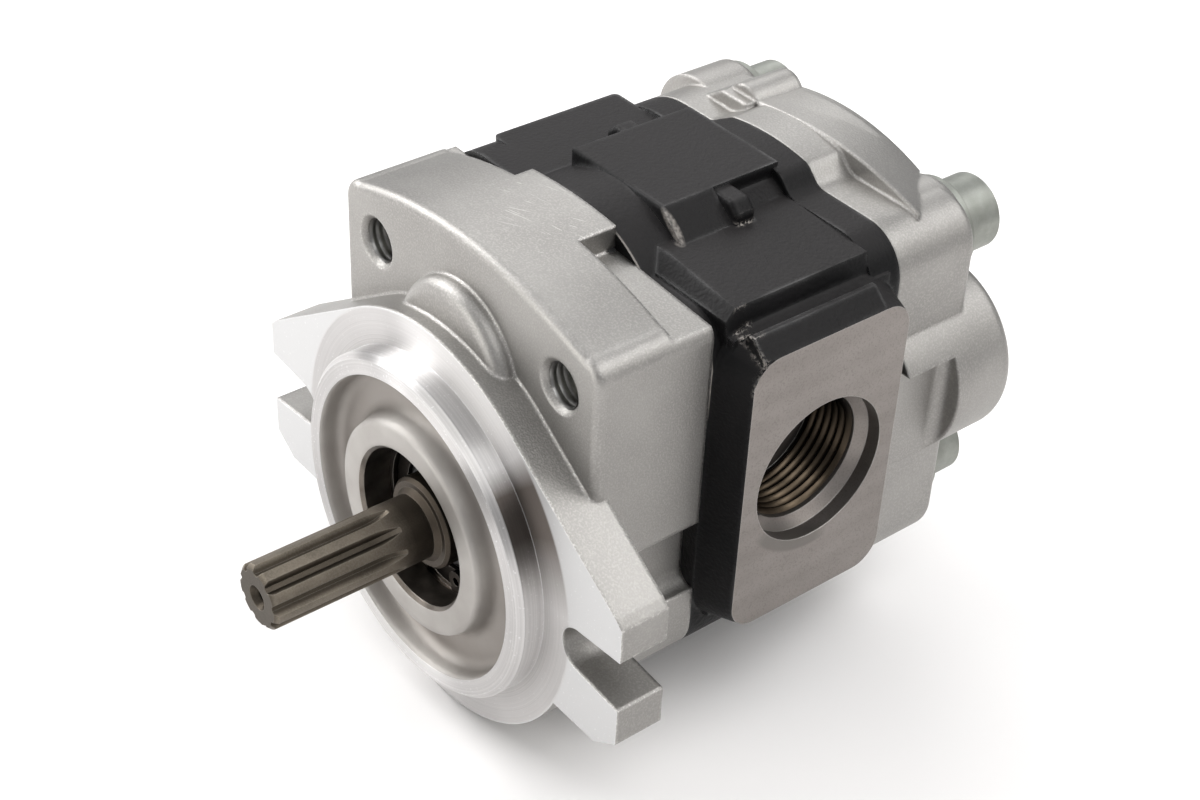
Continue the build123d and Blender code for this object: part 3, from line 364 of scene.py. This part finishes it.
def black_painted_iron():
    """Sand-cast iron in one coat of satin black: soft fillets, sandy skin, bare on worn edges."""
    material, finish, place = begin("black_painted_iron")
    # The moulding sand is near 0.3 mm; its print is drawn at 0.9 mm so that it shows
    sand = put(finish, "ShaderNodeTexNoise", {"Vector": place, "Scale": grain(0.9), "Detail": 2.5})
    cloud = put(finish, "ShaderNodeTexNoise", {"Vector": place, "Scale": grain(16), "Detail": 3.0})
    tone = put(finish, "ShaderNodeMapRange", {"Value": cloud, "From Min": 0.35, "From Max": 0.65})
    rounded, edge = rounded_edges(finish, reach=1.8, sharp=0.75)
    # Bare metal on chipped edges, placed as painted glints: peg, ridge and port pad
    knocked_and_glints = 0.0
    for middle, reach in (
        ((22.5, 66.5, 68), (2.6, 4.5, 4)),
        ((47, 45.8, 60), (6, 3, 6)),
        ((54, 42.5, 54), (5, 4, 6)),
    ):
        links = {FIRST: knocked_and_glints, SECOND: near(finish, place, middle, reach)}
        knocked_and_glints = put(finish, "ShaderNodeMath", links, operation="MAXIMUM")
    flake = put(finish, "ShaderNodeTexNoise", {"Vector": place, "Scale": grain(0.7), "Detail": 3.0})
    knocked_and_glints = within(finish, knocked_and_glints, [(edge, 0.25, 0.75), (flake, 0.44, 0.56)])
    # The pad's slanted foot is rubbed grey along its front. The turn lays the slope along one
    # axis, so that one long narrow spot covers it
    links = {"Vector": place, "Rotation": (0.0, 0.902, 0.0)}
    sloped = put(finish, "ShaderNodeMapping", links)
    foot = near(finish, sloped, middle=(64.2, 49.7, 27.8), reach=(1.5, 1.8, 5.4))
    links = {"Value": sand, "From Min": 0.3, "From Max": 0.6, "To Min": 0.15, "To Max": 0.6}
    rubbed = put(finish, "ShaderNodeMapRange", links)
    foot = put(finish, "ShaderNodeMath", {FIRST: foot, SECOND: rubbed}, operation="MULTIPLY")
    # The edge at the front joint is bare in a thin line on the upper right, but not its front
    at = put(finish, "ShaderNodeSeparateXYZ", {"Vector": place}).outputs
    normal = put(finish, "ShaderNodeNewGeometry").outputs["Normal"]
    facing = put(finish, "ShaderNodeSeparateXYZ", {"Vector": normal}).outputs
    limits = [
        (at["X"], 12 * MM, 14 * MM),
        (at["Y"], (front_joint + 0.55) * MM, (front_joint + 0.35) * MM),
        (at["Z"], 38 * MM, 46 * MM),
        (facing["Y"], -0.6, -0.3),
    ]
    bare = within(finish, 0.75, limits)
    for worn in (knocked_and_glints, foot):
        bare = put(finish, "ShaderNodeMath", {FIRST: bare, SECOND: worn}, operation="MAXIMUM")
    # Fine dust, and painted light from above, lighten what faces up
    dust_and_top_light = within(finish, 0.55, [(facing["Z"], 0.6, 1.0)])
    layers = [(tone, "#100f10"), (dust_and_top_light, "#333131"), (bare, "#a39d97")]
    # The paint runs thick and glossy in patches along the fillets and edges
    links = {"Value": cloud, "From Min": 0.4, "From Max": 0.6, "To Min": 0.15, "To Max": 0.8}
    patch = put(finish, "ShaderNodeMapRange", links)
    thick = put(finish, "ShaderNodeMath", {FIRST: edge, SECOND: patch}, operation="MULTIPLY")
    dull = put(finish, "ShaderNodeMapRange", {"Value": edge, "To Min": 0.55, "To Max": 0.35})
    links = {"Height": sand, "Strength": 0.8, "Distance": 0.25 * MM, "Normal": rounded}
    links = {
        "Base Color": layered(finish, "#0b0b0c", layers),
        "Metallic": bare,
        "Specular IOR Level": 0.15,
        "Coat Weight": thick,
        "Coat Roughness": 0.2,
        "Roughness": dull,
        "Normal": put(finish, "ShaderNodeBump", links),
    }
    close(finish, links)
    return material


def plain_metal(name, low_tone, high_tone, roughness, patch, pit):
    """Metal of one tone with soft patches and a fine grain, for the smaller pieces and threads."""
    material, finish, place = begin(name)
    links = {"Vector": place, "Scale": grain(patch), "Detail": 3.0}
    cloud = put(finish, "ShaderNodeTexNoise", links)
    tone = put(finish, "ShaderNodeMapRange", {"Value": cloud, "From Min": 0.35, "From Max": 0.65})
    # The grain of worked metal is finer than 0.1 mm; it is drawn at the pit's size to show
    fine = put(finish, "ShaderNodeTexNoise", {"Vector": place, "Scale": grain(pit), "Detail": 2.0})
    rounded, edge = rounded_edges(finish, reach=0.25, sharp=0.80)
    worn = put(finish, "ShaderNodeMapRange", {"Value": edge, "To Max": 0.4})
    gloss = {
        "Value": fine,
        "From Min": 0.3,
        "From Max": 0.7,
        "To Min": roughness - 0.05,
        "To Max": roughness + 0.05,
    }
    links = {"Height": fine, "Strength": 0.3, "Distance": 0.05 * MM, "Normal": rounded}
    links = {
        "Base Color": layered(finish, low_tone, [(tone, high_tone), (worn, "#c9c4bd")]),
        "Metallic": 1.0,
        "Roughness": put(finish, "ShaderNodeMapRange", gloss),
        "Normal": put(finish, "ShaderNodeBump", links),
    }
    close(finish, links)
    return material


def phosphated_steel():
    """Phosphated steel: dull olive grey with a sandy skin, darker where it meets the seal."""
    material, finish, place = begin("phosphated_steel")
    cloud = put(finish, "ShaderNodeTexNoise", {"Vector": place, "Scale": grain(6), "Detail": 3.0})
    tone = put(finish, "ShaderNodeMapRange", {"Value": cloud, "From Min": 0.35, "From Max": 0.65})
    # The phosphate's crystals are near 0.02 mm; they are drawn at 0.4 mm so that they show
    skin = put(finish, "ShaderNodeTexNoise", {"Vector": place, "Scale": grain(0.4), "Detail": 2.0})
    fleck = within(finish, 0.5, [(skin, 0.4, 0.65)])
    # Painted shade: the spline's grooves are darkened
    radius = away_from_axis(finish, place, (1, 0, 1))
    groove = within(finish, 0.75, [(radius, 7.55 * MM, 6.7 * MM)])
    # The shaft is darker near the seal and inside its bore
    darker_by_seal = near(finish, place, middle=(0, 4, 0), reach=(60, 19, 60))
    darker_by_seal = put(finish, "ShaderNodeMapRange", {"Value": darker_by_seal, "To Max": 0.85})
    # The tops of the spline and the other edges are rubbed lighter
    rounded, edge = rounded_edges(finish, reach=0.3, sharp=0.80)
    worn = put(finish, "ShaderNodeMapRange", {"Value": edge, "To Max": 0.45})
    layers = [
        (tone, "#787065"),
        (fleck, "#857e73"),
        (groove, "#37312a"),
        (darker_by_seal, "#3f3831"),
        (worn, "#a59e93"),
    ]
    links = {"Height": skin, "Strength": 0.5, "Distance": 0.08 * MM, "Normal": rounded}
    links = {
        "Base Color": layered(finish, "#6a6359", layers),
        "Metallic": 1.0,
        "Roughness": 0.5,
        "Normal": put(finish, "ShaderNodeBump", links),
    }
    close(finish, links)
    return material


def moulded(name, low_tone, high_tone, roughness):
    """Moulded rubber or plastic: dull, with a soft sheen."""
    material, finish, place = begin(name)
    cloud = put(finish, "ShaderNodeTexNoise", {"Vector": place, "Scale": grain(3), "Detail": 3.0})
    tone = put(finish, "ShaderNodeMapRange", {"Value": cloud, "From Min": 0.35, "From Max": 0.65})
    links = {"Height": cloud, "Strength": 0.2, "Distance": 0.05 * MM}
    links = {
        "Base Color": layered(finish, low_tone, [(tone, high_tone)]),
        "Roughness": roughness,
        "Normal": put(finish, "ShaderNodeBump", links),
    }
    close(finish, links)
    return material


def cut_iron_thread():
    """Screw thread cut in iron: smooth and brown, with painted shade above and painted light below.
    """
    material, finish, place = begin("cut_iron_thread")
    height = put(finish, "ShaderNodeSeparateXYZ", {"Vector": place}).outputs["Z"]
    # Painted light and shade: the thread is lighter below and nearly black above
    low = within(finish, 1.0, [(height, (port_height + 8) * MM, (port_height - 13) * MM)])
    cloud = put(finish, "ShaderNodeTexNoise", {"Vector": place, "Scale": grain(4), "Detail": 3.0})
    stain = within(finish, 0.4, [(cloud, 0.35, 0.65)])
    links = {
        "Base Color": layered(finish, "#0f0d0c", [(low, "#544a3e"), (stain, "#2a251f")]),
        "Metallic": 1.0,
        "Roughness": 0.3,
    }
    close(finish, links)
    return material


def white_paper():
    """Sheet of matt white paper: no gloss, and only the faintest mottle."""
    material, finish, place = begin("white_paper")
    links = {"Vector": place, "Scale": grain(400), "Detail": 1.0}
    mottle = put(finish, "ShaderNodeTexNoise", links)
    links = {
        "Base Color": layered(finish, "#f6f4f3", [(mottle, "#f9f8f7")]),
        "Roughness": 0.8,
        "Specular IOR Level": 0.1,
    }
    close(finish, links)
    return material


# Finishes of the whole pieces, by the name that each piece brings with it
finishes = {
    "die_cast_aluminium": die_cast_aluminium(),
    "black_painted_iron": black_painted_iron(),
    "phosphated_steel": phosphated_steel(),
    # Nitrile rubber, nearly black
    "seal_rubber": moulded("seal_rubber", "#161616", "#202020", roughness=0.5),
    # Filled plastic, cream and a little glossier
    "backup_plastic": moulded("backup_plastic", "#c9bfa6", "#d8d0ba", roughness=0.45),
}
for name, low_tone, high_tone, roughness, patch, pit in (
    # Ground steel of the idler gear, bright and neutral
    ("gear_steel", "#9a9794", "#aeaba7", 0.28, 8, 0.3),
    # Bronze of the bushes, a warm yellow-brown
    ("bearing_bronze", "#a98652", "#b8955e", 0.38, 6, 0.3),
    # Alloy of the side plates with a bronze face, paler and duller
    ("plate_alloy", "#b49a68", "#c0a878", 0.42, 6, 0.4),
    # Blackened steel of the seal's case
    ("seal_case_steel", "#2e2b28", "#3a3633", 0.45, 5, 0.4),
    # Oiled spring steel of the circlip and the seal's spring, a little darker
    ("spring_steel", "#2b2825", "#393531", 0.4, 4, 0.3),
    # Zinc plate on the bolts and washers, pale with a tint of green
    ("zinc_plated_steel", "#8b8d87", "#9a9c96", 0.5, 5, 0.35),
):
    finishes[name] = plain_metal(name, low_tone, high_tone, roughness, patch, pit)
for node in nodes.values():
    for slot in node.material_slots:
        slot.material = finishes[slot.material.name.split(".")[0]]


def refinish(node, finish, chosen):
    """Gives a finish of its own to the faces chosen by their middle, in millimetres, and normal."""
    mesh = nodes[node].data
    mesh.materials.append(finish)
    last = len(mesh.materials) - 1
    for face in mesh.polygons:
        if chosen(face.center / MM, face.normal):
            face.material_index = last


def from_shaft(middle):
    """Distance of a point from the shaft axis."""
    return math.hypot(middle.x, middle.z)


def from_port(middle):
    """Distance of a point from the axis of the ports."""
    return math.hypot(middle.y - port_depth, middle.z - port_height)


def turned_faces(middle, normal):
    """The pilot's front and side and the mounting face round it."""
    radius = from_shaft(middle)
    on_front = middle.y < pilot_front + slack and recess_rim_radius - slack < radius
    on_side = middle.y < slack and pilot_edge_radius < radius < pilot_radius + slack
    on_flange = abs(middle.y) < slack and normal.y < -0.9
    return on_front or on_side or on_flange


def recess_faces(middle, normal):
    """The recess in the pilot and the hub that stands in it."""
    radius = from_shaft(middle)
    return middle.y < slack and seal_bore_radius + slack < radius < recess_rim_radius + slack


def seal_bore_faces(middle, normal):
    """The bore that holds the shaft seal, with its chamfer and the circlip's groove."""
    return middle.y < seal_bore_end and from_shaft(middle) < circlip_groove_radius


def machined_faces(middle, normal):
    """The port faces, their bores and the chambers."""
    outermost = middle.x > inlet_face - slack or middle.x < -outlet_face + slack
    in_bore = from_port(middle) < port_radius and abs(middle.x) > port_end
    return (outermost and abs(normal.x) > 0.99) or in_bore


# Painted shade: the seal bore is bored aluminium in dark brown, for the shade inside it
shaded_bore_aluminium = plain_metal(
    "shaded_bore_aluminium", "#5a544e", "#79726b", roughness=0.36, patch=5, pit=0.4
)
refinish("front_cover", as_cast_aluminium(), recess_faces)
refinish("front_cover", turned_aluminium(), turned_faces)
refinish("front_cover", shaded_bore_aluminium, seal_bore_faces)
refinish("pump_body", machined_iron(), machined_faces)


def spiral_thread(name, mouth, inward, root_radius, pitch, length, height):
    """Internal screw thread: one ridge wound along a bore from its mouth, in millimetres."""
    steps = 48
    foot, crest = 0.47, 0.07
    # The ridge's foot is sunk a little, so that no gap shows along the bore
    sunk = -0.06
    inward = Vector(inward).normalized()
    side = inward.orthogonal().normalized()
    other = inward.cross(side)
    shape = bmesh.new()
    rows = []
    turns = length / pitch
    for step in range(int(turns * steps) + 1):
        turn = step / steps
        # The ridge rises over its first half turn and falls again over its last
        top = height * min(1.0, turn * 2, (turns - turn) * 2)
        spoke = side * math.cos(turn * 2 * math.pi) + other * math.sin(turn * 2 * math.pi)
        row = []
        for along, rise in ((-foot, sunk), (-crest, top), (crest, top), (foot, sunk)):
            spot = Vector(mouth) + inward * (turn + along) * pitch + spoke * (root_radius - rise)
            row.append(shape.verts.new(spot * MM))
        rows.append(row)
    for row, following in zip(rows, rows[1:]):
        for at in range(3):
            shape.faces.new((row[at], row[at + 1], following[at + 1], following[at]))
    bmesh.ops.recalc_face_normals(shape, faces=shape.faces)
    mesh = bpy.data.meshes.new(name)
    shape.to_mesh(mesh)
    shape.free()
    for face in mesh.polygons:
        face.use_smooth = True
    piece = bpy.data.objects.new(name, mesh)
    bpy.context.scene.collection.objects.link(piece)
    return piece


thread_steel = cut_iron_thread()
thread_aluminium = plain_metal(
    "cut_aluminium_thread", "#8f8e8c", "#a5a4a2", roughness=0.36, patch=4, pit=0.3
)
inlet_thread = spiral_thread(
    "inlet_thread",
    mouth=(inlet_face - 6.0, port_depth, port_height),
    inward=(-1, 0, 0),
    root_radius=15.7,
    pitch=2.117,
    length=13.2,
    height=1.1,
)
outlet_thread = spiral_thread(
    "outlet_thread",
    mouth=(-outlet_face + 4.6, port_depth, port_height),
    inward=(1, 0, 0),
    root_radius=12.4,
    pitch=2.117,
    length=12.6,
    height=1.1,
)
threads = [
    (inlet_thread, thread_steel, "black_painted_iron"),
    (outlet_thread, thread_steel, "black_painted_iron"),
]
bolt_places = [(x, z) for x in (-bolt_x, bolt_x) for z in bolt_heights]
for number, (x, z) in enumerate(bolt_places, start=1):
    bolt_thread = spiral_thread(
        f"tie_bolt_thread_{number}",
        mouth=(x, cover_face + 1.2, z),
        inward=(0, 1, 0),
        root_radius=5.15,
        pitch=1.75,
        length=7.2,
        height=0.35,
    )
    threads.append((bolt_thread, thread_aluminium, "die_cast_aluminium"))
for piece, finish, slot in threads:
    piece.data.materials.append(finish)
    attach(piece, "housing")

# Floor, light and camera

floor_reach = 4.0
shape = bmesh.new()
corners = [(-1, -1), (1, -1), (1, 1), (-1, 1)]
shape.faces.new([shape.verts.new((x * floor_reach, y * floor_reach, 0)) for x, y in corners])
mesh = bpy.data.meshes.new("floor")
shape.to_mesh(mesh)
shape.free()
mesh.materials.append(white_paper())
floor = bpy.data.objects.new("floor", mesh)
floor.location = (0, 0, cad_low.z)
bpy.context.scene.collection.objects.link(floor)

world = bpy.data.worlds.new("white_room")
bpy.context.scene.world = world
world.use_nodes = True
room = world.node_tree
room.nodes.clear()
air = put(room, "ShaderNodeBackground", {"Color": linear("#fbfcff"), "Strength": 0.335})
put(room, "ShaderNodeOutputWorld", {"Surface": air})

# Large soft lamps, each with its place and the point it faces in metres, its two sizes in metres,
# its power in watts and its tone
pump_middle = (0, 0.05, 0)
for name, place, aim, width, height, power, tone in (
    ("top_softbox", (-0.1, 0.05, 1.1), pump_middle, 1.1, 1.1, 1.9, "#ffffff"),
    ("window_softbox", (-0.65, 0.6, 0.7), pump_middle, 0.6, 0.6, 2.9, "#ffffff"),
    ("left_softbox", (-0.85, -0.3, 0.6), pump_middle, 0.6, 0.6, 10.0, "#ffffff"),
    ("back_softbox", (0.35, 0.6, 0.85), pump_middle, 0.6, 0.6, 3.7, "#ffffff"),
    ("right_softbox", (0.75, 0.5, 0.55), pump_middle, 0.6, 0.6, 1.7, "#fffdf9"),
    ("camera_softbox", (0.6, -0.1, 0.85), pump_middle, 0.6, 0.6, 3.1, "#ffffff"),
    ("front_softbox", (-0.27, -0.95, 0.27), (0, 0, 0), 0.75, 0.3, 4.0, "#fffefb"),
):
    lamp = bpy.data.lights.new(name, "AREA")
    lamp.shape = "RECTANGLE"
    lamp.size, lamp.size_y = width, height
    lamp.energy = power
    lamp.color = linear(tone)[:3]
    holder = bpy.data.objects.new(name, lamp)
    holder.location = place
    holder.rotation_euler = (Vector(aim) - Vector(place)).to_track_quat("-Z", "Y").to_euler()
    bpy.context.scene.collection.objects.link(holder)

# The camera's place and the way it looks are fitted to the photograph
eye_place = (0.29985, -0.20539, 0.30377)
forward = Vector((-0.6139, 0.5172, -0.5963)).normalized()
across = Vector((0.6209, 0.7828, 0.0398)).normalized()
upward = across.cross(forward).normalized()
across = forward.cross(upward)
camera = bpy.data.cameras.new("camera")
camera.lens = 63.45
camera.sensor_width = 36
camera.clip_start, camera.clip_end = 0.01, 50
eye = bpy.data.objects.new("camera", camera)
turn = Matrix((across, upward, -forward)).transposed().to_4x4()
eye.matrix_world = Matrix.Translation(eye_place) @ turn
bpy.context.scene.collection.objects.link(eye)
bpy.context.scene.camera = eye

bpy.context.scene.view_settings.view_transform = "Standard"
